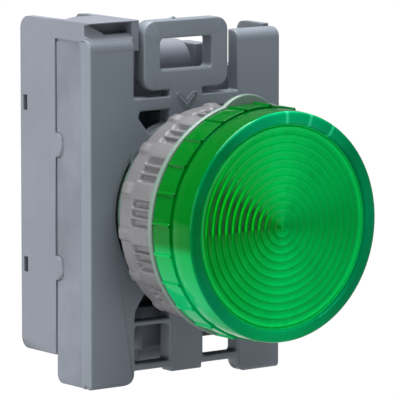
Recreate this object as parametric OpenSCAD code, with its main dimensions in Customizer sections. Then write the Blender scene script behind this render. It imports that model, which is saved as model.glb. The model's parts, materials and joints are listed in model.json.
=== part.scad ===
// Panel pilot light: green ring-lens head for a 22 mm panel hole, ring nut,
// clip-on fixing adapter and screw-terminal lamp block.
// Origin: seat of the gasket on the panel, on the lamp axis.
// +Y runs back through the panel, the lamp faces -Y, +Z is up. Millimetres.

/* [Lens] */
// Radius of the front skirt of the lens cap
lens_r = 14.5; // [13:0.1:15]
// Radius over the ribs of the grip band
grip_r = 15.0; // [14:0.1:15]
// Height of the grip ribs
tooth_depth = 0.28; // [0.1:0.02:0.6]
// Number of grip ribs
teeth = 24; // [12:1:48]
// Position of the front rim
lens_front = -9.1; // [-11:0.1:-7]
// Position of the rear edge of the lens cap
lens_rear = -1.4; // [-2:0.1:-1]
// Inner radius of the raised front rim
rim_in_r = 12.95; // [12:0.05:13.6]
// Depth of the lens face behind the rim
face_recess = 0.5; // [0.1:0.1:1.5]
// Thickness of the lens face
face_t = 1.2; // [0.8:0.1:2]

/* [Head] */
// Radius of the head flange
flange_r = 15.0; // [14:0.1:15]
// Radius of the neck that passes the panel
neck_r = 11.0; // [10.5:0.05:11.1]
// Radius of the rear spigot inside the adapter
spigot_r = 10.2; // [9.8:0.05:10.6]
// Bore radius of the head
head_bore_r = 9.2; // [8:0.1:9.6]
// Rear end of the head
head_rear = 16.0; // [14:0.1:17]

/* [Ring nut] */
// Outside radius of the nut
nut_r = 13.9; // [13:0.1:14.5]
// Front face of the nut
nut_front = 0.5; // [0.3:0.1:1]
// Rear face of the nut
nut_rear = 7.0; // [5:0.1:8]
// Groups of grip grooves round the nut
nut_groups = 15; // [8:1:24]
// Depth of the grip grooves
groove_depth = 0.7; // [0.3:0.1:1]

/* [Adapter] */
// Overall width
width = 30; // [29:0.1:31]
// Front face of the adapter plate
plate_front = 11.5; // [10:0.1:13]
// Thickness of the adapter plate
plate_t = 2.2; // [1.5:0.1:3]
// Rear edge of the adapter frame
frame_rear = 19.2; // [17:0.1:21]
// Inner edge of the two side posts
post_in = 8.2; // [7:0.1:9]
// Top of the posts
post_top = 22.5; // [20:0.1:24]
// Bottom of the posts
post_bottom = -22.1; // [-24:0.1:-20]
// Half width of the finger loop
loop_half = 6.63; // [6:0.05:7.5]
// Top of the finger loop
loop_top = 24.4; // [22:0.1:24.6]

/* [Lamp block] */
// Front of the wide part of the block
block_front = 19.3; // [18:0.1:21]
// Rear of the block
block_rear = 27.05; // [25:0.05:29]
// Top of the main body
block_top = 17.0; // [15:0.1:19]
// Bottom of the block
block_bottom = -18.5; // [-20:0.1:-16]
// Top of the terminal tower
tower_top = 24.6; // [23:0.1:26]
// Inner side of the terminal tower
tower_in = -6.9; // [-8:0.1:-6]
// Wall thickness
wall = 1.1; // [0.8:0.1:1.6]

/* [Terminals] */
// Height of the upper terminal screw
term_top_z = 18.6; // [17:0.1:20]
// Height of the lower terminal screw
term_bot_z = -13.6; // [-15:0.1:-12]
// Sideways position of both terminal screws
term_x = -10.9; // [-11.5:0.1:-10]
// Shank radius of the terminal screws
shank_r = 1.25; // [1:0.05:1.6]
// Head radius of the terminal screws
screw_head_r = 2.3; // [2:0.1:2.8]

/* [Lamp] */
// Radius of the lamp envelope
bulb_r = 5.0; // [4:0.1:6]
// Radius of the bayonet base
base_r = 4.6; // [4.3:0.05:4.7]
// Front tip of the lamp
bulb_front = -5.5; // [-6.5:0.1:-3]

/* [Hidden] */
$fn = 96;
half = width / 2;
plate_rear = plate_front + plate_t;
face_front = lens_front + face_recess;
face_back = face_front + face_t;
strip_front = block_front + 1.0;
strip_rear = strip_front + 0.8;
clamp_front = strip_rear + 2.2;
clamp_rear = clamp_front + 0.8;
screw_rear = clamp_rear + 1.9;

// Profile (radius, depth) turned about the lamp axis
module lathe() rotate([-90, 0, 0]) rotate_extrude($fn = 96) children();
// Front view outline given depth from y0 to y1
module xz(y0, y1) translate([0, y1, 0]) rotate([90, 0, 0]) linear_extrude(y1 - y0) children();
// Side view outline (depth, height) given width from x0 to x1
module yz(x0, x1) translate([x0, 0, 0]) rotate([90, 0, 90]) linear_extrude(x1 - x0) children();
// Box from corner to corner
module bx(x0, x1, y0, y1, z0, z1) translate([x0, y0, z0]) cube([x1 - x0, y1 - y0, z1 - z0]);
// Tube on the lamp axis
module tube(ro, ri, y0, y1) lathe() translate([ri, y0]) square([ro - ri, y1 - y0]);
// Rod along the depth axis
module rod(x, z, r, y0, y1) translate([x, y0, z]) rotate([-90, 0, 0]) cylinder(r = r, h = y1 - y0);
// Flat rectangle from corner to corner
module sq(a0, a1, b0, b1) translate([a0, b0]) square([a1 - a0, b1 - b0]);
// Rectangle with four round corners
module rr(a0, a1, b0, b1, r) {
  sq(a0 + r, a1 - r, b0, b1);
  sq(a0, a1, b0 + r, b1 - r);
  for (a = [a0 + r, a1 - r]) for (b = [b0 + r, b1 - r]) translate([a, b]) circle(r = r);
}

// Green lens cap: ribbed grip band, groove, skirt, rim and recessed face
module lens_cap() color([0.05, 0.62, 0.28]) difference() {
  union() {
    xz(-4.9, lens_rear) {
      circle(r = grip_r - tooth_depth);
      for (i = [0 : teeth - 1]) rotate(86.5 + i * 360 / teeth) sq(grip_r - 0.8, grip_r - 0.005, -0.26, 0.26);
    }
    lathe() polygon([[0, -4.9], [14.4, -4.9], [14.4, -5.4], [lens_r + 0.1, -5.4],
      [lens_r, lens_front + 0.35], [lens_r - 0.35, lens_front], [0, lens_front]]);
  }
  lathe() polygon([[0, lens_front - 1], [rim_in_r, lens_front - 1], [rim_in_r, face_front], [0, face_front]]);
  lathe() polygon([[0, face_back], [11.4, face_back], [11.4, -5.05], [12.55, -5.05], [12.55, lens_rear + 1], [0, lens_rear + 1]]);
}

// Flat seal between the lens cap and the head
module lens_seal() color([0.12, 0.12, 0.13]) tube(12.25, 11.45, -5.05, -4.45);

// Head moulding: lens spigot, flange with locating ear, threaded neck, rear spigot
module head_body() color([0.62, 0.67, 0.63]) difference() {
  union() {
    lathe() polygon([[0, -4.45], [12.5, -4.45], [12.5, -1.4], [flange_r, -1.4], [flange_r, -0.6],
      [neck_r, -0.6], [neck_r, 11.3], [spigot_r, 11.3], [spigot_r, head_rear], [0, head_rear]]);
    xz(-1.4, -0.6) translate([0, 10.7]) circle(r = 5.25);
  }
  rod(0, 0, head_bore_r, -6, head_rear + 1);
}

// Gasket that sits on the front of the panel
module panel_gasket() color([0.16, 0.17, 0.17]) tube(14.6, neck_r + 0.1, -0.6, 0);

// Thin washer pushed along by the nut
module thrust_washer() color([0.68, 0.69, 0.7]) tube(13.6, neck_r + 0.06, 0, nut_front);

// Ring nut with grouped grip grooves and lobed rear tier
module ring_nut() color([0.6, 0.6, 0.61]) difference() {
  union() {
    xz(nut_front + 0.5, 4.6) difference() {
      circle(r = nut_r);
      for (k = [0 : nut_groups - 1]) for (d = [-5.5, 0, 5.5])
        rotate(6 + k * 360 / nut_groups + d) sq(nut_r - groove_depth, nut_r + 1, -0.4, 0.4);
    }
    tube(nut_r - 0.1, 5, nut_front, nut_front + 0.5);
    xz(4.6, nut_rear) {
      circle(r = nut_r - 0.1);
      for (k = [0 : nut_groups - 1]) rotate(18 + k * 360 / nut_groups)
        intersection() { circle(r = nut_r + 0.25); sq(10, 15, -1.3, 1.3); }
    }
  }
  rod(0, 0, neck_r + 0.06, -1, nut_rear + 1);
}

// Outline of one adapter window above the boss, on the right
module win_upper() difference() {
  polygon([[2.62, 13.0], [7.2, 13.0], [7.5, 12.2], [5.6, 9.8], [2.62, 9.8]]);
  circle(r = 11.5);
}
// Outline of one adapter window below the boss, on the right
module win_lower() difference() {
  polygon([[2.63, -13.87], [8.15, -13.87], [8.15, -13.36], [8.0, -12.48], [6.58, -10.42], [5.6, -9.6], [2.63, -9.6]]);
  circle(r = 11.5);
}

// Right post of the plate, rounded at the front top and front bottom edges
module post() intersection() {
  xz(plate_front - 1, plate_rear) {
    sq(post_in, half, post_bottom + 1.5, post_top);
    sq(post_in + 1.5, half, post_bottom, post_top);
    translate([post_in + 1.5, post_bottom + 1.5]) circle(r = 1.5);
  }
  yz(0, 20) {
    sq(plate_front + 1.3, plate_rear, post_bottom, post_top);
    sq(plate_front, plate_rear, post_bottom + 0.6, post_top - 1.3);
    translate([plate_front + 1.3, post_top - 1.3]) circle(r = 1.3);
    translate([plate_front + 0.6, post_bottom + 0.6]) circle(r = 0.6);
  }
}

// Front plate of the fixing adapter with its finger loop and windows
module adapter_plate() color([0.44, 0.47, 0.5]) {
  for (m = [0, 1]) mirror([m, 0, 0]) difference() {
    post();
    xz(plate_front - 1, plate_rear + 1) { win_upper(); win_lower(); circle(r = 11.4); }
  }
  // gate mark on top of the loop
  translate([-0.9, 13.2, loop_top - 0.2]) cylinder(r = 0.22, h = 0.5);
  xz(plate_front, plate_rear) difference() {
    union() {
      sq(-post_in - 0.5, post_in + 0.5, -20.25, 14.67);
      sq(-2.6, 2.6, 14, 16);
      rr(-loop_half, loop_half, 15.5, loop_top, 1.7);
      sq(-2.45, 2.45, -20.92, -20);
    }
    rr(-4.05, 4.05, 18.0, 22.07, 0.6);
    for (m = [0, 1]) mirror([m, 0, 0]) {
      win_upper();
      win_lower();
      rr(2.66, 8.16, -19.35, -14.49, 0.4);
    }
    circle(r = spigot_r + 0.06);
  }
  xz(plate_front - 0.2, plate_front) polygon([[-1.5, 14.95], [-1.05, 14.95], [0, 13.9], [1.05, 14.95], [1.5, 14.95],
    [1.5, 14.6], [0, 12.8], [-1.5, 14.6]]);
}

// Side outline of a frame wall, rounded at the rear corners
module wall_side(top) {
  sq(plate_rear, frame_rear, -22.05 + 1.2, top - 1);
  sq(plate_rear, frame_rear - 1.2, -22.05, top);
  translate([frame_rear - 1.2, -22.05 + 1.2]) circle(r = 1.2);
  translate([frame_rear - 1.2, top - 1.2]) circle(r = 1.2);
}

// Rear frame of the adapter: side walls, collar on the spigot and webs
module adapter_frame() color([0.6, 0.61, 0.65]) difference() {
  union() {
    yz(-half + 0.15, -13.6) wall_side(post_top);
    yz(13.85, half - 0.15) wall_side(post_top + 0.35);
    xz(plate_rear, frame_rear) {
      for (s = [-1, 1]) sq(min(s * 11.5, s * 14.2), max(s * 11.5, s * 14.2), -6, 6);
      circle(r = 12.2);
    }
  }
  rod(0, 0, spigot_r + 0.06, plate_front, frame_rear + 1);
  for (z = [7.05, -8.76]) yz(-half - 1, -13.95) rr(17.7, 22, z - 0.1, z + 3.2, 1.25);
}

// Side outline of a tower wall ending at y, with a round top rear corner
module tower_side(y) {
  sq(12.0, y, 22.56, tower_top - 1.8);
  sq(12.0, y - 1.8, 22.56, tower_top);
  sq(block_front, y, 16, tower_top - 1.8);
  translate([y - 1.8, tower_top - 1.8]) circle(r = 1.8);
}

// Lamp block moulding: shell, terminal tower, tongues, lug and side tabs
module block_housing() color([0.62, 0.64, 0.67]) difference() {
  union() {
    // main shell outline
    yz(-half, half) {
      sq(block_front, block_rear - 1.5, block_bottom, block_top);
      sq(block_front, block_rear, block_bottom + 1.5, block_top);
      translate([block_rear - 1.5, block_bottom + 1.5]) circle(r = 1.5);
    }
    // terminal tower: lower part, left and right walls, front ledge
    yz(-half, tower_in) sq(block_front, block_rear, 16, 22.2);
    yz(-half, -half + wall) tower_side(block_rear);
    yz(tower_in - wall, tower_in) tower_side(block_rear - 1.05);
    bx(-half, tower_in, 12.0, 20.4, 22.56, tower_top - 0.12);
    // upper and lower tongues behind the loop and the lower windows
    for (m = [0, 1]) mirror([0, 0, m]) yz(-4.2, 4.2) {
      sq(15.5, 20.5, 12.9, 18.4 - m * 0.4);
      translate([18.0, 18.4 - m * 0.4]) circle(r = 2.5);
    }
    // lug on the top
    xz(block_front, block_front + 4.2) { sq(5, 9, 16.5, 19.4); translate([7, 18.1]) circle(r = 2.1); }
    // rounded tabs over the adapter side
    for (z = [7.05, -8.76]) yz(-half, -14.05) rr(17.8, 22, z, z + 3.1, 1.2);
  }
  // cavity, open at the rear
  bx(-half + wall, half - wall, block_front + 1, block_rear + 1, block_bottom + wall, block_top - wall);
  // terminal chamber in the tower, open to the top and rear
  bx(-half + wall, tower_in - wall, block_front + 1, 25.5, 10, 21.2);
  // wire entry above the adapter post
  xz(11, 21) polygon([[-12.9, 23.12], [-8.2, 23.1], [-7.95, 24.22], [-14.55, 24.22]]);
  // wire holes in the chamber roof and in the bottom wall
  for (x = [term_x - 2.1, term_x + 2.1]) {
    translate([x, 22.2, 21]) cylinder(r = 0.85, h = 2);
    translate([x, 22.2, block_bottom - 1]) cylinder(r = 0.85, h = 3);
  }
  // driver hole in the tower rear, tip holes in the front wall
  rod(term_x, term_top_z, screw_head_r + 0.3, 25, block_rear + 1);
  rod(term_x, term_top_z, shank_r + 0.35, block_front - 1, block_front + 2);
  rod(term_x, term_bot_z, shank_r + 0.35, block_front - 1, block_front + 2);
  // lamp holder seat
  rod(0, 0, 5.4, block_front - 1, block_front + 2);
  // snap slots in both sides
  for (s = [-1, 1]) for (z = [12.4, -8.6]) bx(s * half - 2, s * half + 2, 25.6, 26.5, z, z + 2);
}

// Rear cover clipped into the housing
module block_cover() color([0.55, 0.57, 0.6]) difference() {
  union() {
    bx(-half + wall + 0.05, half - wall - 0.05, 25.55, 26.9, block_bottom + wall + 0.05, block_top - wall - 0.05);
    for (s = [-1, 1]) for (z = [12.4, -8.6]) bx(min(s * 13, s * 14.1), max(s * 13, s * 14.1), 25.65, 26.45, z + 0.05, z + 1.95);
  }
  rod(term_x, term_bot_z, screw_head_r + 0.3, 25, 28);
  rod(term_x, term_top_z, screw_head_r + 0.3, 25, 28);
}

// Brass bayonet shell with two hooked slots
module lampholder_shell() color([0.78, 0.66, 0.36]) difference() {
  union() {
    tube(5.15, 4.75, 11.5, 21.5);
    tube(6.4, 4.75, 20.3, 21.0);
  }
  for (s = [0, 180]) rotate([0, s, 0]) {
    rotate([0, -30, 0]) bx(-1.15, 1.15, 11, 16.7, 3, 7);
    for (q = [0 : 3]) rotate([0, -q * 10, 0]) rod_slot(15.5 + q * 0.4);
  }
}
// One step of the hooked slot, at the pin depth y
module rod_slot(y) translate([0, y, 3]) cylinder(r = 1.15, h = 4);

// Insulating carrier behind the bayonet shell
module holder_insulator() color([0.85, 0.83, 0.76]) {
  tube(6.4, 2.1, 21.5, 22.2);
  tube(3.2, 2.1, 22.2, 24.9);
}

// Sprung centre contact
module contact_button() color([0.8, 0.68, 0.4]) {
  rod(0, 0, 2.04, 22.6, 23.3);
  rod(0, 0, 1.0, 23.3, 23.7);
}

// Flat-wire coil spring behind the centre contact
module contact_spring() color([0.75, 0.76, 0.78])
  rotate([-90, 0, 0]) translate([0, 0, 23.32]) linear_extrude(1.56, twist = -1440, slices = 64, $fn = 16)
    polygon(concat([for (i = [0 : 4]) [1.72 * cos(i * 40), 1.72 * sin(i * 40)]],
      [for (i = [4 : -1 : 0]) [1.38 * cos(i * 40), 1.38 * sin(i * 40)]]));

// Metal bayonet base with two pins
module lamp_base() color([0.8, 0.8, 0.8]) {
  difference() {
    rod(0, 0, base_r, 9.5, 20.2);
    rod(0, 0, base_r - 0.4, 8, 19.8);
    rod(0, 0, 1.9, 19, 22);
  }
  difference() {
    for (s = [-1, 1]) translate([0, 15.5, s > 0 ? base_r - 0.2 : -base_r - 0.9]) cylinder(r = 1.0, h = 1.1);
    rod(0, 0, base_r - 0.3, 14, 17);
  }
}

// Glass bead round the lamp tip contact
module lamp_insulator() color([0.14, 0.14, 0.18]) tube(1.9, 1.0, 19.8, 21.6);

// Lamp tip contact
module lamp_contact() color([0.75, 0.74, 0.7]) {
  rod(0, 0, 1.0, 19.9, 21.6);
  rod(0, 0, 1.3, 21.6, 22.6);
}

// Clear domed envelope of the lamp
module lamp_envelope() color([0.8, 0.9, 0.85]) difference() {
  lathe() {
    sq(0, bulb_r, bulb_front + bulb_r, 9.5);
    intersection() { translate([0, bulb_front + bulb_r]) circle(r = bulb_r); sq(0, bulb_r + 1, bulb_front - 1, bulb_front + bulb_r); }
  }
  lathe() {
    sq(0, bulb_r - 0.6, bulb_front + bulb_r, 10);
    intersection() { translate([0, bulb_front + bulb_r]) circle(r = bulb_r - 0.6); sq(0, bulb_r + 1, bulb_front - 1, bulb_front + bulb_r); }
  }
}

// Circuit board post that carries the light emitting chips
module led_carrier() color([0.9, 0.9, 0.88]) {
  bx(-3.0, 3.0, 1.5, 19.7, -0.4, 0.4);
  rod(0, 0, 3.6, 0.7, 1.5);
}

// One light emitting chip at (x, z)
module chip(x, z) bx(x - 0.7, x + 0.7, 0.2, 0.7, z - 0.7, z + 0.7);
// Upper left chip
module led_chip_a() color([0.9, 0.85, 0.5]) chip(-1.5, 1.5);
// Upper right chip
module led_chip_b() color([0.9, 0.85, 0.5]) chip(1.5, 1.5);
// Lower left chip
module led_chip_c() color([0.9, 0.85, 0.5]) chip(-1.5, -1.5);
// Lower right chip
module led_chip_d() color([0.9, 0.85, 0.5]) chip(1.5, -1.5);

// Brass strip from the bayonet shell to the upper terminal
module shell_strip() color([0.8, 0.68, 0.4]) difference() {
  union() {
    bx(-13.8, -8.0, strip_front, strip_rear, 15, 21.1);
    bx(-10.4, -8.0, strip_front, strip_rear, 3, 16);
    bx(-10.4, -5.2, strip_front, strip_rear, 1.0, 4.0);
  }
  rod(term_x, term_top_z, shank_r + 0.05, 19, 23);
  rod(0, 0, 6.45, 19, 23);
}

// Brass strip from the centre contact to the lower terminal
module contact_strip() color([0.8, 0.68, 0.4]) difference() {
  union() {
    bx(-13.8, -8.0, strip_front, strip_rear, -16.8, -10);
    bx(-9.4, -8.0, strip_front, 25.45, -11.2, -10);
    bx(-9.4, -8.0, 24.95, 25.45, -11.2, 0.8);
    bx(-9.4, 1.6, 24.95, 25.45, -0.8, 0.8);
  }
  rod(term_x, term_bot_z, shank_r + 0.05, 19, 23);
}

// Terminal screw at height z
module term_screw(z) difference() {
  union() {
    rod(term_x, z, shank_r, strip_front - 0.1, clamp_rear);
    rod(term_x, z, screw_head_r, clamp_rear, screw_rear);
  }
  bx(term_x - 3, term_x + 3, screw_rear - 0.9, screw_rear + 1, z - 0.3, z + 0.3);
  bx(term_x - 0.3, term_x + 0.3, screw_rear - 0.9, screw_rear + 1, z - 1.3, z + 1.3);
}
// Upper terminal screw
module terminal_screw_top() color([0.72, 0.73, 0.75]) term_screw(term_top_z);
// Lower terminal screw
module terminal_screw_bottom() color([0.72, 0.73, 0.75]) term_screw(term_bot_z);

// Clamp plate at height z
module clamp(z) difference() {
  bx(-13.7, -8.1, clamp_front, clamp_rear, z - 2.0, z + 2.0);
  rod(term_x, z, shank_r + 0.05, 22, 25);
}
// Upper wire clamp plate
module clamp_plate_top() color([0.7, 0.71, 0.72]) clamp(term_top_z);
// Lower wire clamp plate
module clamp_plate_bottom() color([0.7, 0.71, 0.72]) clamp(term_bot_z);

lens_cap();
lens_seal();
head_body();
panel_gasket();
thrust_washer();
ring_nut();
adapter_plate();
adapter_frame();
block_housing();
block_cover();
lampholder_shell();
holder_insulator();
contact_button();
contact_spring();
lamp_base();
lamp_insulator();
lamp_contact();
lamp_envelope();
led_carrier();
led_chip_a();
led_chip_b();
led_chip_c();
led_chip_d();
shell_strip();
contact_strip();
terminal_screw_top();
terminal_screw_bottom();
clamp_plate_top();
clamp_plate_bottom();
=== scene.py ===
import bpy, bmesh, json, math
from mathutils import Vector, Matrix

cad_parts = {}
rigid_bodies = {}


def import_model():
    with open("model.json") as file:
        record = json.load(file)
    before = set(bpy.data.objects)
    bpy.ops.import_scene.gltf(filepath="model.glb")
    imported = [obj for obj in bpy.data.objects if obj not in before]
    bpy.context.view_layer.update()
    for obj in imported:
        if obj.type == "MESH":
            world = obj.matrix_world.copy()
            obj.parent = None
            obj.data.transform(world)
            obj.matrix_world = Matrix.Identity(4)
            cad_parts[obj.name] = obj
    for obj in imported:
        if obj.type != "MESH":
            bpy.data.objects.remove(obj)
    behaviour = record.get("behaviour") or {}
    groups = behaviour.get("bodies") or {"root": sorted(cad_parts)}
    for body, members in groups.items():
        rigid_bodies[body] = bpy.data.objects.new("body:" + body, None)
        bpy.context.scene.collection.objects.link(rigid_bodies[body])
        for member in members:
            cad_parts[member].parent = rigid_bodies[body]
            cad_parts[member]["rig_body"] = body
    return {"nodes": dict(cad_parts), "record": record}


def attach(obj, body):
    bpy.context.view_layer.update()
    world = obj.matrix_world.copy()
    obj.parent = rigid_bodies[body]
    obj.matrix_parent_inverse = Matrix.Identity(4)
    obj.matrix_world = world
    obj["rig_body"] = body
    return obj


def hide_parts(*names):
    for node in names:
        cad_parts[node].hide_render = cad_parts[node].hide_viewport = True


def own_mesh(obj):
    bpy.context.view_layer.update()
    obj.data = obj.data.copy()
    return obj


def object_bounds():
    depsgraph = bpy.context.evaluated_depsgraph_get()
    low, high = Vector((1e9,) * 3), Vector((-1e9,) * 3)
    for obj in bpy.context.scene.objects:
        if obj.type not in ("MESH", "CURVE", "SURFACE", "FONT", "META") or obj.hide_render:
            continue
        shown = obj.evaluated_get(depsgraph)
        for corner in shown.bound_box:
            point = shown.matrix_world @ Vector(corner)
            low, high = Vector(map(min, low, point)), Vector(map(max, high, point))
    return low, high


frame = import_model()
CAD_BOX = [[float(v) for v in c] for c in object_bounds()]
MM = 0.001
TAU = 2 * math.pi
NODES = frame["nodes"]


# ------------------------------------------------------------------ meshes
def mesh_obj(name, verts, faces, smooth=True, angle=30):
    me = bpy.data.meshes.new(name)
    me.from_pydata([(x * MM, y * MM, z * MM) for x, y, z in verts], [], faces)
    bm = bmesh.new(); bm.from_mesh(me)
    bmesh.ops.remove_doubles(bm, verts=bm.verts, dist=1e-8)
    bmesh.ops.recalc_face_normals(bm, faces=bm.faces)
    bm.to_mesh(me); bm.free()
    ob = bpy.data.objects.new(name, me)
    bpy.context.scene.collection.objects.link(ob)
    if smooth:
        shade(ob, angle)
    return ob


def shade(ob, angle=30):
    me = ob.data
    me.polygons.foreach_set("use_smooth", [True] * len(me.polygons))
    bm = bmesh.new(); bm.from_mesh(me)
    lim = math.radians(angle)
    for e in bm.edges:
        e.smooth = len(e.link_faces) == 2 and e.calc_face_angle(0) < lim
    bm.to_mesh(me); bm.free()


def lathe(name, prof, n=192, radius=None, angle=30, closed=True):
    """Solid turned about the lamp axis. prof is [(r, y)...] in mm; radius(i, j, r, y, a) may change r."""
    verts, faces = [], []
    m = len(prof)
    for i in range(n):
        a = TAU * i / n
        for j, (r, y) in enumerate(prof):
            rr = radius(j, r, y, a) if radius else r
            verts.append((rr * math.cos(a), y, rr * math.sin(a)))
    for i in range(n):
        k = (i + 1) % n
        for j in range(m if closed else m - 1):
            l = (j + 1) % m
            faces.append((i * m + j, i * m + l, k * m + l, k * m + j))
    return mesh_obj(name, verts, faces, angle=angle)


def fillet(pts, radii, steps=5):
    """Round the corners of a closed 2-D outline."""
    out = []
    n = len(pts)
    for i, (p, r) in enumerate(zip(pts, radii)):
        p = Vector(p)
        if r <= 0:
            out.append(tuple(p)); continue
        a, b = Vector(pts[i - 1]) - p, Vector(pts[(i + 1) % n]) - p
        la, lb = a.length, b.length
        a.normalize(); b.normalize()
        ang = a.angle(b)
        t = min(r / math.tan(ang / 2), la * 0.49, lb * 0.49)
        r2 = t * math.tan(ang / 2)
        c = p + (a + b).normalized() * (r2 / math.sin(ang / 2))
        s, e = p + a * t - c, p + b * t - c
        a0 = math.atan2(s.y, s.x); a1 = math.atan2(e.y, e.x)
        d = (a1 - a0 + math.pi) % TAU - math.pi
        for k in range(steps + 1):
            w = a0 + d * k / steps
            out.append((c.x + r2 * math.cos(w), c.y + r2 * math.sin(w)))
    return out


# ------------------------------------------------------------------ materials
def nt(mat):
    mat.use_nodes = True
    t = mat.node_tree
    return t, t.nodes["Principled BSDF"]


def hexlin(h):
    out = []
    for i in (0, 2, 4):
        v = int(h[i:i + 2], 16) / 255
        out.append(v / 12.92 if v <= 0.04045 else ((v + 0.055) / 1.055) ** 2.4)
    return (*out, 1)


def noise(t, scale, detail=4, rough=0.6, vec=None):
    n = t.nodes.new("ShaderNodeTexNoise")
    n.inputs["Scale"].default_value = scale
    n.inputs["Detail"].default_value = detail
    n.inputs["Roughness"].default_value = rough
    if vec is not None:
        t.links.new(vec, n.inputs["Vector"])
    return n.outputs["Fac"]


def ramp(t, fac, a, b, p0=0.35, p1=0.65):
    r = t.nodes.new("ShaderNodeValToRGB")
    r.color_ramp.elements[0].position = p0
    r.color_ramp.elements[1].position = p1
    r.color_ramp.elements[0].color = a
    r.color_ramp.elements[1].color = b
    t.links.new(fac, r.inputs["Fac"])
    return r.outputs["Color"]


def mixc(t, fac, a, b, kind="MIX"):
    m = t.nodes.new("ShaderNodeMix")
    m.data_type = "RGBA"; m.blend_type = kind
    if isinstance(fac, float):
        m.inputs[0].default_value = fac
    else:
        t.links.new(fac, m.inputs[0])
    for s, v in ((6, a), (7, b)):
        if isinstance(v, tuple):
            m.inputs[s].default_value = v
        else:
            t.links.new(v, m.inputs[s])
    return m.outputs[2]


def maprange(t, fac, a, b, lo=0.0, hi=1.0):
    m = t.nodes.new("ShaderNodeMapRange")
    m.inputs["From Min"].default_value = lo; m.inputs["From Max"].default_value = hi
    m.inputs["To Min"].default_value = a; m.inputs["To Max"].default_value = b
    t.links.new(fac, m.inputs["Value"])
    return m.outputs["Result"]


def objvec(t):
    c = t.nodes.new("ShaderNodeTexCoord")
    return c.outputs["Object"]


def edge_highlight_mask(t, radius=0.00035, power=1.0):
    """Mask for the painted edge highlight: bevelled normal against the true normal."""
    bev = t.nodes.new("ShaderNodeBevel"); bev.samples = 6
    bev.inputs["Radius"].default_value = radius
    geo = t.nodes.new("ShaderNodeNewGeometry")
    dot = t.nodes.new("ShaderNodeVectorMath"); dot.operation = "DOT_PRODUCT"
    t.links.new(bev.outputs["Normal"], dot.inputs[0])
    t.links.new(geo.outputs["Normal"], dot.inputs[1])
    return maprange(t, dot.outputs["Value"], 1.0, 0.0, 0.75, 0.995)


def plastic(name, col, var=0.06, rough=0.5, bump=0.05, grain=2600.0, spec=0.4, edge_highlight=0.12, bevel=0.00018):
    """Moulded plastic: fine spark-eroded grain, slow colour drift, softened edges with a painted highlight along them.
    """
    mat = bpy.data.materials.new(name)
    t, p = nt(mat)
    v = objvec(t)
    c = hexlin(col)
    lo = tuple(x * (1 - var) for x in c[:3]) + (1,)
    hi = tuple(min(1, x * (1 + var)) for x in c[:3]) + (1,)
    slow = noise(t, 90, 3, 0.55, v)
    base = ramp(t, slow, lo, hi, 0.3, 0.7)
    speck = noise(t, 1500, 2, 0.5, v)
    base = mixc(t, maprange(t, speck, 0.0, 0.10, 0.45, 0.8), base, tuple(x * 0.8 for x in c[:3]) + (1,))
    # painted highlight: the base colour is lightened along the edges
    if edge_highlight > 0:
        e = edge_highlight_mask(t)
        edge_highlight_color = tuple(min(1, x * 1.0 + 0.18) for x in c[:3]) + (1,)
        m = t.nodes.new("ShaderNodeMath"); m.operation = "MULTIPLY"; m.inputs[1].default_value = edge_highlight
        t.links.new(e, m.inputs[0])
        base = mixc(t, m.outputs[0], base, edge_highlight_color)
    t.links.new(base, p.inputs["Base Color"])
    r = noise(t, 420, 4, 0.6, v)
    t.links.new(maprange(t, r, rough - 0.07, rough + 0.09, 0.3, 0.7), p.inputs["Roughness"])
    p.inputs["Specular IOR Level"].default_value = spec
    g = noise(t, grain, 2, 0.6, v)
    b = t.nodes.new("ShaderNodeBump")
    b.inputs["Strength"].default_value = bump
    b.inputs["Distance"].default_value = 0.00012
    t.links.new(g, b.inputs["Height"])
    bv = t.nodes.new("ShaderNodeBevel"); bv.samples = 6
    bv.inputs["Radius"].default_value = bevel
    t.links.new(bv.outputs["Normal"], b.inputs["Normal"])
    t.links.new(b.outputs["Normal"], p.inputs["Normal"])
    return mat


def metal(name, col, rough=0.3, scratch=True, tarnish=0.15):
    mat = bpy.data.materials.new(name)
    t, p = nt(mat)
    v = objvec(t)
    c = hexlin(col)
    slow = noise(t, 260, 4, 0.6, v)
    dark = tuple(x * (1 - tarnish * 2) for x in c[:3]) + (1,)
    t.links.new(ramp(t, slow, dark, c, 0.3, 0.6), p.inputs["Base Color"])
    p.inputs["Metallic"].default_value = 1.0
    mp = t.nodes.new("ShaderNodeMapping")
    mp.inputs["Scale"].default_value = (1, 14, 1)
    t.links.new(v, mp.inputs["Vector"])
    g = noise(t, 1200, 3, 0.6, mp.outputs["Vector"])
    t.links.new(maprange(t, g, rough - 0.08, rough + 0.14, 0.3, 0.7), p.inputs["Roughness"])
    b = t.nodes.new("ShaderNodeBump")
    b.inputs["Strength"].default_value = 0.08
    b.inputs["Distance"].default_value = 0.00005
    t.links.new(g, b.inputs["Height"])
    t.links.new(b.outputs["Normal"], p.inputs["Normal"])
    return mat


def socket_math(t, op, a, b=None):
    m = t.nodes.new("ShaderNodeMath"); m.operation = op
    for i, v in enumerate((a, b)):
        if v is None:
            continue
        if isinstance(v, (int, float)):
            m.inputs[i].default_value = v
        else:
            t.links.new(v, m.inputs[i])
    return m.outputs[0]


def stops(t, fac, table):
    """Colour ramp from (position, hex) pairs."""
    r = t.nodes.new("ShaderNodeValToRGB")
    cr = r.color_ramp
    cr.interpolation = "EASE"
    cr.elements[0].position = table[0][0]; cr.elements[0].color = hexlin(table[0][1])
    cr.elements[1].position = table[-1][0]; cr.elements[1].color = hexlin(table[-1][1])
    for ps, c in table[1:-1]:
        e = cr.elements.new(ps); e.color = hexlin(c)
    t.links.new(fac, r.inputs["Fac"])
    return r.outputs["Color"]


SLOTS = {m.get("slot") for m in frame["record"].get("materials", [])}


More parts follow.
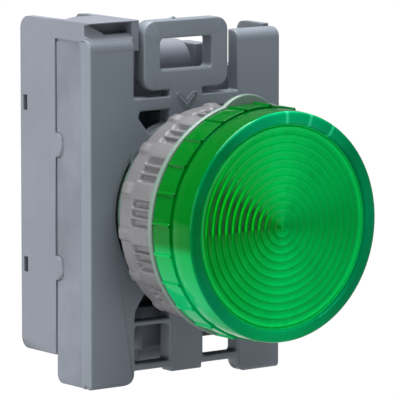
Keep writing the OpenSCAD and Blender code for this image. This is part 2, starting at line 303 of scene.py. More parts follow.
def lens_base(name, rough, spec, sss, tint):
    mat = bpy.data.materials.new(name)
    t, p = nt(mat)
    v = objvec(t)
    r = noise(t, 600, 3, 0.5, v)
    t.links.new(maprange(t, r, rough * 0.7, rough * 1.5, 0.3, 0.7), p.inputs["Roughness"])
    p.inputs["IOR"].default_value = 1.49
    p.inputs["Specular IOR Level"].default_value = spec
    p.inputs["Specular Tint"].default_value = tint
    p.inputs["Subsurface Weight"].default_value = sss
    p.inputs["Subsurface Radius"].default_value = (0.0003, 0.0022, 0.0006)
    p.inputs["Subsurface Scale"].default_value = 1.0
    w = noise(t, 240, 2, 0.5, v)
    b = t.nodes.new("ShaderNodeBump")
    b.inputs["Strength"].default_value = 0.05
    b.inputs["Distance"].default_value = 0.0004
    t.links.new(w, b.inputs["Height"])
    t.links.new(b.outputs["Normal"], p.inputs["Normal"])
    return mat, t, p, v


def lens_material(name, col, deep, painted_light_around, rough=0.1, spec=0.5, sss=0.1):
    """Dyed translucent acrylic: the dye depth varies, with faint flow marks and handling haze; painted light and shade
    graded round the axis.
    """
    mat, t, p, v = lens_base(name, rough, spec, sss, (0.02, 1.0, 0.5, 1))
    slow = noise(t, 110, 3, 0.5, v)
    base = ramp(t, slow, hexlin(deep), hexlin(col), 0.35, 0.65)
    sep = t.nodes.new("ShaderNodeSeparateXYZ")
    t.links.new(v, sep.inputs[0])
    x, z = sep.outputs["X"], sep.outputs["Z"]
    turn = maprange(t, socket_math(t, "ARCTAN2", z, socket_math(t, "MULTIPLY", x, -1.0)), 0.0, 1.0, -math.pi, math.pi)
    # painted light and shade: colour stops round the lens axis mixed into the dye colour
    t.links.new(mixc(t, 0.75, base, stops(t, turn, painted_light_around)), p.inputs["Base Color"])
    return mat


def face_material():
    """Ringed lens face: painted shade in a fan left of the centre, with painted glints and painted dark lines along
    the rings; painted light and shade graded round the axis.
    """
    mat, t, p, v = lens_base("lens_face_green", 0.14, 0.12, 0.04, (0.02, 1.0, 0.4, 1))
    sep = t.nodes.new("ShaderNodeSeparateXYZ")
    t.links.new(v, sep.inputs[0])
    x, z = sep.outputs["X"], sep.outputs["Z"]
    turn = maprange(t, socket_math(t, "ARCTAN2", z, socket_math(t, "MULTIPLY", x, -1.0)), 0.0, 1.0, -math.pi, math.pi)
    # painted light and shade graded round the lens axis
    face_painted_light = stops(t, turn, [(0.0, "008834"), (0.12, "009c42"), (0.25, "00b24e"), (0.38, "009c38"), (0.455, "008824"), (0.5, "007414"), (0.56, "007c12"),
                           (0.62, "00a034"), (0.75, "00b850"), (0.88, "00a044"), (1.0, "008834")])
    # painted shade fan, cut into painted ring shade and painted glints
    painted_shade_fan = stops(t, turn, [(0.42, "000000"), (0.46, "484848"), (0.492, "808080"), (0.502, "ffffff"), (0.53, "e8e8e8"), (0.57, "ffffff"), (0.60, "c8c8c8"), (0.622, "505050"), (0.65, "000000")])
    r = socket_math(t, "SQRT", socket_math(t, "ADD", socket_math(t, "MULTIPLY", x, x), socket_math(t, "MULTIPLY", z, z)))
    ph = socket_math(t, "FRACT", socket_math(t, "MULTIPLY", socket_math(t, "SUBTRACT", r, 0.00036), 1 / 0.00102))
    dark = stops(t, ph, [(0.0, "202020"), (0.25, "000000"), (0.45, "e0e0e0"), (0.8, "ffffff"), (0.97, "303030")])
    glint = stops(t, ph, [(0.0, "000000"), (0.08, "ffffff"), (0.22, "b0b0b0"), (0.34, "000000"), (1.0, "000000")])
    near = maprange(t, r, 0.0, 1.0, 0.0010, 0.0035)
    outer = maprange(t, r, 1.0, 0.6, 0.0105, 0.0122)
    k = socket_math(t, "MULTIPLY", socket_math(t, "MULTIPLY", painted_shade_fan, outer), near)
    c = mixc(t, socket_math(t, "MULTIPLY", socket_math(t, "MULTIPLY", k, dark), 1.0), face_painted_light, hexlin("001400"))
    c = mixc(t, socket_math(t, "MULTIPLY", socket_math(t, "MULTIPLY", k, glint), 0.8), c, hexlin("10dc2c"))
    # painted shade along the ring grooves
    painted_groove_shade = stops(t, ph, [(0.0, "b0b0b0"), (0.12, "101010"), (0.3, "000000"), (0.5, "606060"), (0.68, "101010"), (0.86, "505050"), (1.0, "b0b0b0")])
    c = mixc(t, socket_math(t, "MULTIPLY", painted_groove_shade, 0.8), c, hexlin("003c14"))
    # darker towards the centre and a lighter band at the outer edge
    c = mixc(t, maprange(t, r, 0.35, 0.0, 0.0006, 0.0040), c, hexlin("006820"))
    c = mixc(t, maprange(t, r, 0.0, 0.45, 0.0119, 0.0124), c, hexlin("10c858"))
    c = mixc(t, maprange(t, noise(t, 900, 3, 0.6, v), 0.0, 0.25, 0.5, 0.75), c, hexlin("007a2c"))
    t.links.new(c, p.inputs["Base Color"])
    return mat


MAT = {
    # lens and rim: the stops round the axis are painted light and shade; the rim's thin bright lines at 0.755, 0.798
    # and 0.84 are painted highlights
    "lens": lens_material("lens_green", "006416", "00560e", [(0.0, "00804c"), (0.15, "008454"), (0.27, "00904e"), (0.4, "00a862"), (0.47, "009a4a"), (0.487, "006014"), (0.6, "005010"),
                          (0.75, "004814"), (0.85, "005430"), (1.0, "007a4c")], 0.07, 0.1, 0.06),
    "face": face_material(),
    "rim": lens_material("lens_rim_green", "007a48", "005c30", [(0.0, "007044"), (0.1, "006c40"), (0.27, "009450"), (0.4, "006e44"), (0.5, "005a20"), (0.62, "006030"),
                              (0.7, "008a58"), (0.752, "00a064"), (0.755, "40e0a0"), (0.758, "00a064"),
                              (0.795, "009860"), (0.798, "38d898"), (0.801, "009860"), (0.837, "008854"), (0.84, "28c888"), (0.843, "008854"), (0.9, "00683c"), (1.0, "007044")], 0.06, 0.12, 0.1),
    "seal": plastic("seal_rubber", "232526", 0.1, 0.75, 0.15, 1800, 0.25, 0.0),
    # head and gasket colours carry a painted green tint of light from the lens
    "head": plastic("head_plastic", "586c62", 0.05, 0.35, 0.04, 2400, 0.4, 0.1),
    "gasket": plastic("gasket_rubber", "5c7165", 0.08, 0.6, 0.1, 1800, 0.3, 0.05),
    "washer": plastic("washer_satin", "a9a9ab", 0.05, 0.45, 0.04),
    "nut": plastic("nut_plastic", "5b5a5c", 0.06, 0.38, 0.05, 2400, 0.42, 0.10),
    "plate": plastic("adapter_plastic", "656c74", 0.05, 0.45, 0.06, 2800, 0.42, 0.10),
    # frame: its strong slow colour drift is painted soft shade and painted reflection blotches
    "frame": plastic("frame_plastic", "5f656e", 0.28, 0.42, 0.06, 2800, 0.42, 0.10),
    "block": plastic("block_plastic", "666a73", 0.05, 0.45, 0.06, 2600, 0.4, 0.10),
    "cover": plastic("cover_plastic", "62666e", 0.05, 0.5, 0.06, 2600, 0.4, 0.10),
    "cream": plastic("insulator_cream", "d8d2bd", 0.05, 0.5, 0.05),
    "board": plastic("board_white", "e2e2da", 0.03, 0.4, 0.03),
    "chip": plastic("chip_phosphor", "e0cc66", 0.08, 0.3, 0.03),
    "glass": plastic("bead_glass", "1d2030", 0.05, 0.15, 0.0, 2000, 0.5, 0.0),
    "brass": metal("brass_bright", "c8a44e", 0.28),
    "nickel": metal("nickel_plate", "c4c5c8", 0.18),
    "steel": metal("zinc_steel", "b0b3b8", 0.3),
    "solder": metal("solder_tip", "b9b8b0", 0.35),
}
env = bpy.data.materials.new("envelope_clear")
t, p = nt(env)
v = objvec(t)
t.links.new(ramp(t, noise(t, 200, 3, 0.5, v), hexlin("dcefe4"), hexlin("eefaf2"), 0.3, 0.7), p.inputs["Base Color"])
p.inputs["Transmission Weight"].default_value = 0.85
p.inputs["IOR"].default_value = 1.46
t.links.new(maprange(t, noise(t, 500, 3, 0.5, v), 0.12, 0.3, 0.3, 0.7), p.inputs["Roughness"])
MAT["env"] = env


def paint(ob, *names):
    ob.data.materials.clear()
    for n in names:
        ob.data.materials.append(MAT[n])


# ------------------------------------------------------------------ pieces
def smoothstep(a, b, x):
    x = min(1.0, max(0.0, (x - a) / (b - a)))
    return x * x * (3 - 2 * x)


def wrap(d, period):
    return (d + period / 2) % period - period / 2


def rounded_copy(me, width, segs=2, angle=28, shortest=0.0):
    """Real rounded edges on a mesh whose flat faces are triangulated."""
    bm = bmesh.new(); bm.from_mesh(me)
    bmesh.ops.remove_doubles(bm, verts=bm.verts, dist=3e-6)
    bmesh.ops.dissolve_limit(bm, angle_limit=math.radians(1.5), verts=bm.verts, edges=bm.edges)
    lim = math.radians(angle)
    bm.normal_update()
    edges = [e for e in bm.edges if len(e.link_faces) == 2 and e.calc_face_angle(0) > lim and e.calc_length() > max(1e-5, shortest * MM)]
    bmesh.ops.bevel(bm, geom=edges, offset=width * MM, offset_type="OFFSET", segments=segs, profile=0.5,
                    affect="EDGES", clamp_overlap=False, miter_outer="SHARP", miter_inner="SHARP", loop_slide=True)
    bmesh.ops.remove_doubles(bm, verts=bm.verts, dist=2e-6)
    bmesh.ops.triangulate(bm, faces=[f for f in bm.faces if len(f.verts) > 4])
    bm.to_mesh(me); bm.free()
    me.polygons.foreach_set("use_smooth", [True] * len(me.polygons))


def soften(node, mat, width=0.22, segs=2, angle=28, shortest=0.0):
    """A copy of a CAD node with real rounded edges; it stands for the node."""
    me = NODES[node].data.copy()
    me.name = node + "_moulded"
    rounded_copy(me, width, segs, angle, shortest)
    ob = bpy.data.objects.new(node + "_moulded", me)
    bpy.context.scene.collection.objects.link(ob)
    w = ob.modifiers.new("flat", "WEIGHTED_NORMAL")
    w.keep_sharp = False; w.weight = 100
    settle(ob)
    paint(ob, mat)
    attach(ob, NODES[node]["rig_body"])
    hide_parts(node)
    finish_slot(node)
    return ob


def prism(name, poly, axis, a, b):
    """A straight prism of a closed outline: axis x, y or z, from a to b."""
    def at(p, h):
        u, v = p
        return {"x": (h, u, v), "y": (u, h, v), "z": (u, v, h)}[axis]
    n = len(poly)
    verts = [at(p, a) for p in poly] + [at(p, b) for p in poly]
    faces = [tuple(range(n)), tuple(range(2 * n - 1, n - 1, -1))] + [(i, (i + 1) % n, n + (i + 1) % n, n + i) for i in range(n)]
    return mesh_obj(name, verts, faces, smooth=False)


def carve(ob, cutter, op="DIFFERENCE"):
    m = ob.modifiers.new("cut", "BOOLEAN")
    m.operation = op; m.solver = "EXACT"; m.object = cutter
    settle(ob)
    bpy.data.objects.remove(cutter)
    return ob


def absorb(ob, *others):
    """Joins other meshes into ob."""
    bm = bmesh.new(); bm.from_mesh(ob.data)
    for o in others:
        bm.from_mesh(o.data)
    bm.to_mesh(ob.data); bm.free()
    for o in others:
        bpy.data.objects.remove(o)


def rect(a0, a1, b0, b1):
    return [(a0, b0), (a1, b0), (a1, b1), (a0, b1)]


def settle(ob):
    bpy.context.view_layer.update()
    dg = bpy.context.evaluated_depsgraph_get()
    me = bpy.data.meshes.new_from_object(ob.evaluated_get(dg))
    ob.modifiers.clear()
    ob.data = me


def finish_slot(node):
    """Looks through the node's materials for one named after a record slot; nothing is kept or returned."""
    for m in NODES[node].data.materials:
        if m and m.name.split(".")[0] in SLOTS:
            return


def stand(ob, body, *nodes):
    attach(ob, body)
    finish_slot(nodes[0])
    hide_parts(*nodes)
    return ob


def band(pts, r=0.15, steps=3, closed=True):
    return fillet(pts, [r] * len(pts) if not isinstance(r, (list, tuple)) else r, steps)


# lens cap: rim, recessed ringed face, skirt, groove and ribbed grip band
N_LENS = 480
RIB0 = 86.5


def lens_profile():
    out = []
    yf = -8.6
    rings = 12
    pitch = 1.02
    out.append((0.0, yf + 0.02))
    out.append((0.16, yf + 0.02))
    for i in range(rings):
        r0 = 0.36 + i * pitch
        out += [(r0, yf + 0.02), (r0 + 0.10, yf + 0.19), (r0 + 0.30, yf + 0.21), (r0 + 0.62, yf + 0.10), (r0 + 0.92, yf)]
    out += [(12.58, yf + 0.03), (12.68, yf + 0.16), (12.78, yf + 0.16), (12.86, yf + 0.02)]
    out += [(12.98, -8.95), (13.12, -9.08), (13.3, -9.1), (14.1, -9.1), (14.28, -9.06), (14.42, -8.95), (14.49, -8.78),
            (14.52, -8.4), (14.58, -6.8), (14.6, -5.6), (14.57, -5.46), (14.45, -5.4), (14.38, -5.3), (14.38, -5.0),
            (14.45, -4.93), (14.7, -4.9), (14.74, -4.84), (14.75, -4.6), (14.75, -3.2), (14.75, -1.8), (14.73, -1.46), (14.66, -1.4),
            (12.6, -1.4), (12.55, -1.5), (12.55, -5.05), (11.4, -5.05), (11.35, -7.35), (11.3, -7.4), (0.0, -7.4)]
    return out


LP = lens_profile()


def lens_radius(j, r, y, a):
    if -4.905 <= y <= -1.4 and r > 14.5:
        d = abs(wrap(math.degrees(a) - RIB0, 15))
        k = 1.0 - smoothstep(0.35, 1.2, d)
        end = smoothstep(-1.4, -1.62, y) * 0.4 + 0.6
        return r + 0.25 * k * end if r > 14.64 else r
    return r


def lens_cap():
    verts, faces = [], []
    m = len(LP)
    off = math.radians(RIB0 + 0.375)
    for i in range(N_LENS):
        a = off + TAU * i / N_LENS
        for j, (r, y) in enumerate(LP):
            q = lens_radius(j, r, y, a)
            verts.append((q * math.cos(a), y, q * math.sin(a)))
    for i in range(N_LENS):
        k = (i + 1) % N_LENS
        for j in range(m - 1):
            faces.append((i * m + j, i * m + j + 1, k * m + j + 1, k * m + j))
    ob = mesh_obj("lens_cap_moulded", verts, faces, angle=24)
    paint(ob, "lens", "face", "rim")
    for f in ob.data.polygons:
        c = f.center / MM
        r = math.hypot(c.x, c.z)
        if c.y < -8.3 and r < 12.9:
            f.material_index = 1
        elif c.y < -8.72 or (c.y < -8.3 and r < 13.2):
            f.material_index = 2
    return stand(ob, "lens", "lens_cap")


lens_cap()

# head: spigot for the lens, flange with its ear, threaded neck and rear spigot
PITCH = 1.5


def ear(a):
    s, c = math.sin(a), math.cos(a)
    k = 5.25 ** 2 - (10.7 * c) ** 2
    return 10.7 * s + math.sqrt(k) if k > 0 and s > 0 else 0


def head_radius(j, r, y, a):
    if r > 14.5:
        return r + max(0.0, ear(a) - 15.0)
    if 0.1 < y < 11.1 and 10.4 < r < 11.05:
        ph = (y / PITCH + a / TAU) % 1.0
        tri = 1 - abs(2 * ph - 1)
        fade = smoothstep(0.1, 0.9, y) * smoothstep(11.1, 10.3, y)
        return 10.98 - 0.42 * fade * smoothstep(0.15, 0.85, tri)
    return r


hp = [(9.2, -4.4), (9.25, -4.45), (12.2, -4.45), (12.4, -4.4), (12.5, -4.25), (12.5, -1.42), (14.7, -1.4), (14.88, -1.36),
      (14.97, -1.25), (15.0, -1.1), (15.0, -0.85), (14.97, -0.7), (14.85, -0.6), (11.0, -0.6), (10.98, -0.3)]
hp += [(10.98, 0.0 + 0.16 * i) for i in range(70)]
hp += [(10.98, 11.25), (10.9, 11.3), (10.2, 11.3), (10.2, 15.7), (10.1, 15.9), (9.9, 16.0), (9.3, 16.0), (9.2, 15.9)]
stand(lathe("head_moulded", hp, 240, head_radius, 30), "base", "head_body")
paint(bpy.data.objects["head_moulded"], "head")

g = lathe("gasket_ring", band([(11.12, -0.6), (14.6, -0.6), (14.6, 0.0), (11.12, 0.0)], 0.18, 4), 192)
paint(g, "gasket"); stand(g, "base", "panel_gasket")
g = lathe("seal_ring", band([(11.45, -5.05), (12.25, -5.05), (12.25, -4.45), (11.45, -4.45)], 0.2, 4), 160)
paint(g, "seal"); stand(g, "lens_seat", "lens_seal")
g = lathe("washer_ring", band([(11.07, 0.0), (13.6, 0.0), (13.6, 0.5), (11.07, 0.5)], 0.1, 3), 192)
paint(g, "washer"); stand(g, "washer", "thrust_washer")

# ring nut: fifteen lobes, grooved grips between them, tapering rear tier, thread inside
NP = [(11.5, 0.5), (13.2, 0.5), (13.55, 0.56), (13.8, 0.72), (13.9, 0.95), (13.9, 1.3), (13.9, 1.7), (13.9, 2.4), (13.9, 3.2), (13.9, 3.9), (13.9, 4.25),
      (13.9, 4.5), (13.9, 4.75), (13.9, 5.0), (13.9, 5.3), (13.9, 5.6), (13.9, 5.9), (13.9, 6.2), (13.9, 6.5), (13.9, 6.8), (13.9, 6.95), (13.85, 7.04), (13.75, 7.1),
      (11.6, 7.1), (11.2, 6.9)] + [(11.12, 6.6 - 0.2 * i) for i in range(29)] + [(11.2, 0.7)]


def nut_radius(j, r, y, a):
    if r < 11.6:
        if 0.8 < y < 6.7:
            ph = (y / PITCH + a / TAU + 0.0) % 1.0
            tri = 1 - abs(2 * ph - 1)
            return 11.08 + 0.22 * (1 - smoothstep(0.15, 0.85, tri))
        return r
    if r < 13.15:
        return r
    phi = wrap(math.degrees(a) - 6.0, 24)          # 0 in a grooved grip, 12 on a lobe
    ap = abs(phi)
    inset = 13.9 - r                                # what the rounded front and rear corners take off
    lobe = smoothstep(7.3, 8.9, ap)
    # front tier
    groove = 0.62 * (1 - smoothstep(6.2, 7.6, ap))
    rib = max(1 - smoothstep(0.45, 1.15, abs(ap - 2.45)), 0.0)
    along = smoothstep(0.85, 1.25, y) * smoothstep(4.7, 4.1, y)
    front = 13.86 - groove * along * (1 - 0.82 * rib)
    front += 0.06 * lobe
    # rear tier
    step = 0.14 * smoothstep(4.5, 5.1, y)
    narrow = smoothstep(8.0, 10.0, ap)
    bump = (0.30 * math.exp(-((y - 6.2) / 0.9) ** 2) + step) * narrow
    rear = 13.86 - step + bump
    k = smoothstep(4.3, 5.0, y)
    return min(14.14, front * (1 - k) + rear * k) - inset


g = lathe("ring_nut_moulded", NP, 720, nut_radius, 40)
paint(g, "nut"); stand(g, "nut", "ring_nut")


# screws: domed slotted heads, rolled thread on the shank
def screw(node, z):
    x = -10.9
    verts, faces = [], []
    n = 96
    prof = [(0.0, 20.2), (0.8, 20.2), (1.0, 20.3)]
    prof += [(1.2, 20.4 + 0.1 * i) for i in range(36)]
    prof += [(1.25, 24.0), (1.25, 24.1), (2.15, 24.1), (2.3, 24.2), (2.3, 25.2), (2.24, 25.5), (2.08, 25.72), (1.75, 25.88), (1.3, 25.97), (0.6, 26.0), (0.0, 26.0)]
    m = len(prof)
    for i in range(n):
        a = TAU * i / n
        for r, y in prof:
            if 1.15 < r < 1.22:
                ph = (y / 0.5 + a / TAU) % 1.0
                r = 1.24 - 0.16 * smoothstep(0.1, 0.9, 1 - abs(2 * ph - 1))
            if 24.3 < y < 25.3 and r > 2.2:
                r -= 0.05 * (0.5 + 0.5 * math.cos(24 * a))
            verts.append((x + r * math.cos(a), y, z + r * math.sin(a)))
    for i in range(n):
        k = (i + 1) % n
        for j in range(m - 1):
            faces.append((i * m + j, i * m + j + 1, k * m + j + 1, k * m + j))
    ob = mesh_obj(node + "_turned", verts, faces, angle=35)
    # combined cross and slot recess
    def blade(nm, hx, hz):
        vs = [(x + sx * hx, y, z + sz * hz) for y in (25.1, 26.4) for sx, sz in ((-1, -1), (1, -1), (1, 1), (-1, 1))]
        fs = [(0, 1, 2, 3), (7, 6, 5, 4), (0, 4, 5, 1), (1, 5, 6, 2), (2, 6, 7, 3), (3, 7, 4, 0)]
        return mesh_obj(nm, vs, fs, smooth=False)
    for nm, hx, hz in (("cut_a", 3.0, 0.28), ("cut_b", 0.3, 1.25)):
        c = blade(nm, hx, hz)
        b = ob.modifiers.new(nm, "BOOLEAN")
        b.operation = "DIFFERENCE"; b.solver = "EXACT"; b.object = c
        settle(ob)
        bpy.data.objects.remove(c)
    shade(ob, 32)
    paint(ob, "steel")
    return stand(ob, NODES[node]["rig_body"], node)


screw("terminal_screw_top", 18.6)
screw("terminal_screw_bottom", -13.6)


# coil spring: round wire, closed end turns
def spring():
    verts, faces = [], []
    turns, steps, k, wr = 4.0, 44, 8, 0.11
    y0, y1 = 23.34 + wr, 24.88 - wr
    n = int(turns * steps) + 1
    for i in range(n):
        u = i / (n - 1)
        a = TAU * turns * u
        lift = smoothstep(0.1, 0.9, u) * 0.65 + u * 0.35
        y = y0 + (y1 - y0) * lift
        for q in range(k):
            w = TAU * q / k
            r = 1.55 + wr * math.cos(w)
            verts.append((r * math.cos(a), y + wr * math.sin(w), r * math.sin(a)))
    for i in range(n - 1):
        for q in range(k):
            faces.append((i * k + q, i * k + (q + 1) % k, (i + 1) * k + (q + 1) % k, (i + 1) * k + q))
    faces.append(tuple(range(k))); faces.append(tuple(reversed(range((n - 1) * k, n * k))))
    ob = mesh_obj("contact_spring_wire", verts, faces, angle=60)
    paint(ob, "steel")
    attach(ob, "base"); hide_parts("contact_spring")
    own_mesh(ob)


spring()

# lamp envelope and base
prof = [(0.0, -5.5)] + [(5.0 * math.sin(t_ * math.pi / 48), -0.5 - 5.0 * math.cos(t_ * math.pi / 48)) for t_ in range(1, 24)]
prof += [(5.0, -0.5), (5.0, 8.6), (4.96, 9.2), (4.9, 9.5), (4.35, 9.5), (4.4, 8.8), (4.4, -0.5)]
prof += [(4.4 * math.sin(t_ * math.pi / 48), -0.5 - 4.4 * math.cos(t_ * math.pi / 48)) for t_ in range(23, 0, -1)] + [(0.0, -4.9)]
g = lathe("lamp_envelope_blown", prof, 128, None, 35, closed=False)
paint(g, "env"); stand(g, "lamp", "lamp_envelope")


def on_axis(node, mat, prof, n=128, angle=30, radius=None, closed=True):
    g = lathe(node + "_turned", prof, n, radius, angle, closed)
    paint(g, mat)
    return stand(g, NODES[node]["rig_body"], node)


on_axis("lamp_insulator", "glass", band([(1.0, 19.8), (1.9, 19.8), (1.9, 21.6), (1.0, 21.6)], [0, 0.1, 0.5, 0.1], 4))
on_axis("lamp_contact", "solder", [(0.0, 19.9), (0.98, 19.9), (0.98, 21.62), (1.25, 21.64), (1.3, 21.8), (1.26, 22.1), (1.1, 22.36), (0.8, 22.52), (0.4, 22.59), (0.0, 22.6)], closed=False)
on_axis("contact_button", "brass", [(0.0, 22.6), (1.7, 22.6), (1.95, 22.66), (2.04, 22.8), (2.04, 23.1), (1.96, 23.25), (1.8, 23.3), (1.0, 23.32), (0.98, 23.6), (0.85, 23.7), (0.0, 23.7)], closed=False)

for node, mat, w in (
        
        ("block_cover", "cover", 0.18), ("lampholder_shell", "brass", 0.06), ("holder_insulator", "cream", 0.1),
        ("lamp_base", "nickel", 0.08), ("led_carrier", "board", 0.08),
        ("led_chip_a", "chip", 0.08), ("led_chip_b", "chip", 0.08), ("led_chip_c", "chip", 0.08), ("led_chip_d", "chip", 0.08),
        ("shell_strip", "brass", 0.1), ("contact_strip", "brass", 0.08), ("clamp_plate_top", "steel", 0.12), ("clamp_plate_bottom", "steel", 0.12)):
    soften(node, mat, w)



def adapter_plate():
    """Front plate of the adapter, with the thin lip that closes the hole round the neck."""
    me = NODES["adapter_plate"].data.copy()
    me.name = "adapter_plate_moulded"
    rounded_copy(me, 0.22, 2, 28, 0.0)
    ob = bpy.data.objects.new("adapter_plate_moulded", me)
    bpy.context.scene.collection.objects.link(ob)
    w = ob.modifiers.new("flat", "WEIGHTED_NORMAL")
    w.keep_sharp = False; w.weight = 100
    settle(ob)
    lip = lathe("plate_lip", [(11.1, 11.62), (11.16, 11.55), (11.6, 11.55), (11.6, 12.3), (11.16, 12.3), (11.1, 12.2)], 120)
    absorb(ob, lip)
    paint(ob, "plate")
    stand(ob, "base", "adapter_plate")


adapter_plate()


def adapter_frame():
    """Rear frame of the adapter: the collar is relieved behind the four windows."""
    me = NODES["adapter_frame"].data.copy()
    me.name = "adapter_frame_moulded"
    ob = bpy.data.objects.new("adapter_frame_moulded", me)
    bpy.context.scene.collection.objects.link(ob)
    bm = bmesh.new(); bm.from_mesh(me)
    bmesh.ops.remove_doubles(bm, verts=bm.verts, dist=2e-6)
    bm.to_mesh(me); bm.free()
    for sz in (-1, 1):
        for sx in (-1, 1):
            carve(ob, prism("relief", [(sx * 1.6, sz * 10.9), (sx * 1.6, sz * 13), (sx * 9.5, sz * 13), (sx * 9.5, sz * 5.6)][::sx * sz], "y", 13.0, 18.2))
    rounded_copy(ob.data, 0.1, 2, 40, 0.4)
    w = ob.modifiers.new("flat", "WEIGHTED_NORMAL")
    w.keep_sharp = True; w.weight = 100
    settle(ob)
    paint(ob, "frame")
    stand(ob, "base", "adapter_frame")


adapter_frame()


def housing():
    """Lamp block moulding: the CAD shell with its tower head, upper tongue and guide rib moulded in full."""
    me = NODES["block_housing"].data.copy()
    me.name = "block_housing_moulded"
    ob = bpy.data.objects.new("block_housing_moulded", me)
    bpy.context.scene.collection.objects.link(ob)
    bm = bmesh.new(); bm.from_mesh(me)
    bmesh.ops.remove_doubles(bm, verts=bm.verts, dist=2e-6)
    bm.to_mesh(me); bm.free()
    carve(ob, prism("c1", rect(10.0, 20.6, 22.25, 26.0), "x", -16, -6.0))
    carve(ob, prism("c2", rect(20.5, 28.0, 22.3, 26.0), "x", -8.3, -6.0))
    carve(ob, prism("c3", rect(14.5, 19.28, 12.6, 22.0), "x", -4.6, 4.6))
    rounded_copy(ob.data, 0.1, 2, 40, 0.75)
    # tower head: side profile, plan and wire funnel
    side = fillet([(11.6, 20.6), (11.488, 20.85), (11.488, 21.2), (11.66, 21.75), (12.02, 22.3), (12.62, 22.75), (13.0, 22.98), (13.0, 24.3), (12.2, 24.45), (12.25, 24.6), (20.6, 24.6), (20.6, 20.6)],
                  [0, 0, 0.6, 0.8, 0.9, 0.8, 0.1, 0.1, 0.1, 0.1, 0, 0], 5)
    nose = prism("tower_nose", side, "x", -15.0, -6.9)

    def corner(r, x0=-15.0):
        return [(x0, 20.8), (-6.9, 20.8), (-6.9, 11.4), (x0 + r, 11.4)] + [(x0 + r - r * math.sin(q * math.pi / 20), 11.4 + r - r * math.cos(q * math.pi / 20)) for q in range(1, 11)]
    carve(nose, prism("p1", corner(1.25), "z", 20, 26), "INTERSECT")
    # wire funnel under the roof, open to the front
    carve(nose, prism("p2", [(-11.7, 22.95), (-8.0, 22.95), (-8.0, 24.3), (-14.3, 24.36)], "y", 10.5, 14.6))
    # nothing of the head is left beside or under the post's top behind the front skin
    carve(nose, prism("p3", rect(13.9, 21, 20, 22.2), "x", -16, -6))
    carve(nose, prism("p5", rect(10, 13.6, 20, 24.3), "x", -8.0, -6))
    carve(nose, prism("p8", rect(10, 12.3, 20, 22.2), "x", -8.2, -6))
    carve(nose, prism("p9", [(-15.2, 11.3), (-12.6, 11.3), (-12.6, 11.4)] + [(-12.6 - 2.4 * math.sin(q * math.pi / 24), 13.8 - 2.4 * math.cos(q * math.pi / 24)) for q in range(1, 13)] + [(-15.2, 13.8)], "z", 22.3, 26))
    carve(nose, prism("p7", rect(12.3, 21.0, 20, 26), "x", -8.0, -6))
    carve(nose, prism("p6", rect(10, 14.0, 20, 22.2), "x", -16, -14.96))
    carve(nose, prism("p4", [(-13.9, 26), (-13.9, 18.6), (-10.9, 20.75), (-10.9, 26)], "z", 24.15, 26))
    bm = bmesh.new(); bm.from_mesh(nose.data)
    bmesh.ops.remove_doubles(bm, verts=bm.verts, dist=2e-6)
    bm.to_mesh(nose.data); bm.free()
    shade(nose, 40)
    wall = prism("right_wall", fillet([(12.3, 20.7), (12.3, 24.6), (24.85, 24.6), (24.85, 22.2), (14.0, 22.2), (14.0, 20.7)], [0, 0.1, 1.2, 0, 0, 0], 5), "x", -8.0, -6.9)
    shade(wall, 32)
    # upper tongue, crowned
    arc = [(15.2 + 3.0 - 3.0 * math.cos(q * math.pi / 24), 18.15 + 3.0 * math.sin(q * math.pi / 24)) for q in range(0, 13)]
    tongue = prism("tongue", arc + [(19.3, 21.1), (20.4, 20.6), (20.4, 12.9), (15.2, 12.9)], "x", -4.2, 3.55)
    rounded_copy(tongue.data, 0.22, 2, 40)
    rib = prism("guide_rib", rect(16.1, 20.4, 12.9, 20.6), "x", 4.9, 6.9)
    rounded_copy(rib.data, 0.2, 2, 40)
    absorb(ob, nose, wall, tongue, rib)
    w = ob.modifiers.new("flat", "WEIGHTED_NORMAL")
    w.keep_sharp = True; w.weight = 100
    settle(ob)
    paint(ob, "block")
    stand(ob, "base", "block_housing")


housing()

# ------------------------------------------------------------------ stage
bpy.ops.mesh.primitive_plane_add(size=3.0, location=(0, 0, CAD_BOX[0][2] - 0.012))
floor = bpy.context.object
floor.name = "floor"
fm = bpy.data.materials.new("floor_white")
ft, fp = nt(fm)
fp.inputs["Base Color"].default_value = (0.34, 0.34, 0.34, 1)
fp.inputs["Roughness"].default_value = 0.9
fp.inputs["Emission Color"].default_value = (1, 1, 1, 1)
fc = ft.nodes.new("ShaderNodeTexCoord")
fs = ft.nodes.new("ShaderNodeSeparateXYZ")
ft.links.new(fc.outputs["Object"], fs.inputs[0])
ft.links.new(maprange(ft, fs.outputs["X"], 1.1, 0.1, -0.16, 0.0), fp.inputs["Emission Strength"])
seen = ft.nodes.new("ShaderNodeEmission")
seen.inputs["Strength"].default_value = 1.02
flp = ft.nodes.new("ShaderNodeLightPath")
fmx = ft.nodes.new("ShaderNodeMixShader")
ft.links.new(flp.outputs["Is Camera Ray"], fmx.inputs[0])
ft.links.new(fp.outputs[0], fmx.inputs[1])
ft.links.new(seen.outputs[0], fmx.inputs[2])
ft.links.new(fmx.outputs[0], ft.nodes["Material Output"].inputs["Surface"])
floor.data.materials.append(fm)

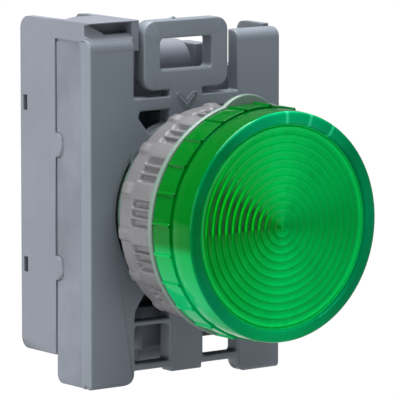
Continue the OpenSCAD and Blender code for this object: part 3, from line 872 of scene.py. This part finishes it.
world = bpy.data.worlds.new("studio")
bpy.context.scene.world = world
world.use_nodes = True
wt = world.node_tree
bg = wt.nodes["Background"]
bg.inputs["Color"].default_value = (0.93, 0.95, 1, 1)
bg.inputs["Strength"].default_value = 0.34
white = wt.nodes.new("ShaderNodeBackground")
white.inputs["Color"].default_value = (1, 1, 1, 1)
white.inputs["Strength"].default_value = 1.05
lp = wt.nodes.new("ShaderNodeLightPath")
mx = wt.nodes.new("ShaderNodeMixShader")
wt.links.new(lp.outputs["Is Camera Ray"], mx.inputs[0])
wt.links.new(bg.outputs[0], mx.inputs[1])
wt.links.new(white.outputs[0], mx.inputs[2])
wt.links.new(mx.outputs[0], wt.nodes["World Output"].inputs["Surface"])
bpy.context.scene.view_settings.view_transform = "Standard"


def area(name, loc, target, size, power):
    l = bpy.data.lights.new(name, "AREA")
    l.shape = "RECTANGLE"; l.size = size[0]; l.size_y = size[1]; l.energy = power
    o = bpy.data.objects.new(name, l)
    bpy.context.scene.collection.objects.link(o)
    o.location = loc
    o.rotation_euler = (Vector(target) - Vector(loc)).to_track_quat("-Z", "Y").to_euler()
    return o


area("left_box", (-0.55, 0.12, 0.14), (0, 0.01, 0), (0.35, 0.35), 2.3)
area("top_box", (-0.02, 0.10, 0.50), (0, 0.01, 0), (0.4, 0.4), 6.6)
area("front_box", (-0.05, -0.24, 0.40), (0, 0.01, 0.02), (0.24, 0.24), 1.5)

# ------------------------------------------------------------------ camera
az, el, dist = math.radians(-36.607), math.radians(7.974), 544.148 * MM
target = Vector((2.145, 11.5, 0.95)) * MM
back = Vector((math.sin(az) * math.cos(el), -math.cos(az) * math.cos(el), math.sin(el)))
cam_data = bpy.data.cameras.new("camera")
cam_data.sensor_width = 36.0
cam_data.lens = 381.75
cam_data.clip_start = 0.01
cam = bpy.data.objects.new("camera", cam_data)
bpy.context.scene.collection.objects.link(cam)
cam.location = target + back * dist
cam.rotation_euler = (-back).to_track_quat("-Z", "Y").to_euler()
bpy.context.scene.camera = cam
